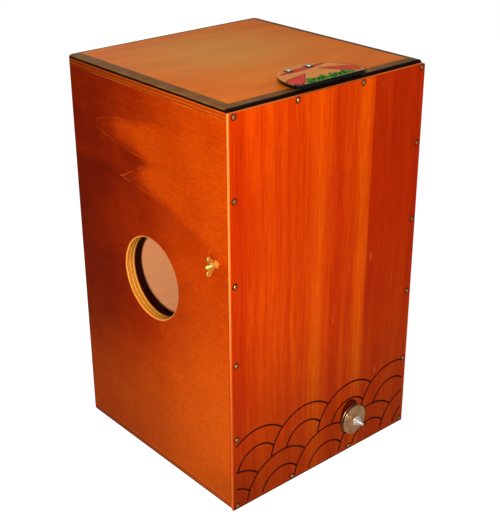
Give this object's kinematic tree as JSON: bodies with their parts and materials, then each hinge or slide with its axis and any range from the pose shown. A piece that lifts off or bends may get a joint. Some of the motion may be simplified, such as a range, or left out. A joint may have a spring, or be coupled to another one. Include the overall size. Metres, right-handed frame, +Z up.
{
  "type": "cajon",
  "caption": "Box drum with a thin screwed playing face, round side sound hole, clamped snare bar, jingle pair on the face and a half-moon castanet plate on the seat.",
  "frame": {"origin": "on the floor, at the centre of the four feet, under the middle of the box", "axes": "+Z up, -Y out of the playing face, -X out of the sound hole"},
  "size_m": [0.33, 0.329, 0.5155],
  "materials": {
    "face_veneer": "orange-red stained veneer, vertical grain, satin varnish",
    "side_veneer": "red-brown stained veneer, grain front to back, satin varnish",
    "seat_veneer": "lighter orange-brown veneer, black painted border, satin varnish",
    "back_ply": "tan plywood, thin varnish",
    "softwood": "bare sawn softwood",
    "hardwood": "bare planed hardwood",
    "painted_wood": "wood with painted leaves and a gloss black edge",
    "dark_wood": "black stained",
    "brass": "worn brass",
    "steel": "bright zinc",
    "jingle_metal": "polished nickel with a warm tarnish",
    "rubber": "matt black"
  },
  "bodies": {
    "case": {"playing_face": "face_veneer", "side_left": "side_veneer", "side_right": "side_veneer", "top_panel": "seat_veneer", "bottom_panel": "side_veneer", "back_panel": "back_ply", "rear_corner_battens": "softwood", "rear_cross_battens": "softwood", "top_side_battens": "softwood", "bottom_side_battens": "softwood", "face_screws": "brass", "back_screws": "brass", "rubber_feet": "rubber", "foot_screws": "steel", "castanet_strip": "dark_wood", "castanet_screws": "steel", "jingle_stud": "steel", "jingle_washer": "steel", "jingle_lock_nut": "steel", "jingle_outer_washer": "steel", "jingle_outer_nut": "steel"},
    "castanet": {"castanet_plate": "painted_wood"},
    "jingle_back": {"jingle_back": "jingle_metal"},
    "jingle_front": {"jingle_front": "jingle_metal"},
    "snare": {"snare_bar": "hardwood", "bar_stud_left": "brass", "bar_stud_right": "brass", "snare_plate_left": "brass", "snare_plate_right": "brass", "snare_screws": "steel", "snare_wires_left": "steel", "snare_wires_right": "steel"},
    "washer_left": {"washer_left": "brass"},
    "wing_nut_left": {"wing_nut_left": "brass"},
    "washer_right": {"washer_right": "brass"},
    "wing_nut_right": {"wing_nut_right": "brass"}
  },
  "joints": [
    {"name": "castanet_clap", "type": "hinge", "parent": "case", "child": "castanet", "pos_m": [0, -0.101, 0.506], "axis": [1, 0, 0], "range_deg": [-1, 3], "stiffness_Nm_per_rad": 0.6},
    {"name": "jingle_back_rattle", "type": "slide", "parent": "case", "child": "jingle_back", "axis": [0, -1, 0], "range_m": [-0.00015, 0.0011]},
    {"name": "jingle_front_rattle", "type": "slide", "parent": "case", "child": "jingle_front", "axis": [0, -1, 0], "range_m": [-0.0011, 0.0005]},
    {"name": "snare_turn", "type": "hinge", "parent": "case", "child": "snare", "pos_m": [0, -0.1275, 0.327], "axis": [-1, 0, 0], "range_deg": [0, 20]},
    {"name": "washer_left_travel", "type": "slide", "parent": "snare", "child": "washer_left", "axis": [-1, 0, 0], "range_m": [0, 0.00141]},
    {"name": "wing_nut_left_turn", "type": "hinge", "parent": "washer_left", "child": "wing_nut_left", "pos_m": [-0.151, -0.1275, 0.327], "axis": [-1, 0, 0], "range_deg": [0, 630]},
    {"name": "washer_right_travel", "type": "slide", "parent": "snare", "child": "washer_right", "axis": [1, 0, 0], "range_m": [0, 0.00141]},
    {"name": "wing_nut_right_turn", "type": "hinge", "parent": "washer_right", "child": "wing_nut_right", "pos_m": [0.151, -0.1275, 0.327], "axis": [1, 0, 0], "range_deg": [0, 630]}
  ],
  "couplings": [
    {"joint": "washer_left_travel", "follows": "wing_nut_left_turn", "m_per_rad": 0.00012732},
    {"joint": "washer_right_travel", "follows": "wing_nut_right_turn", "m_per_rad": 0.00012732}
  ]
}
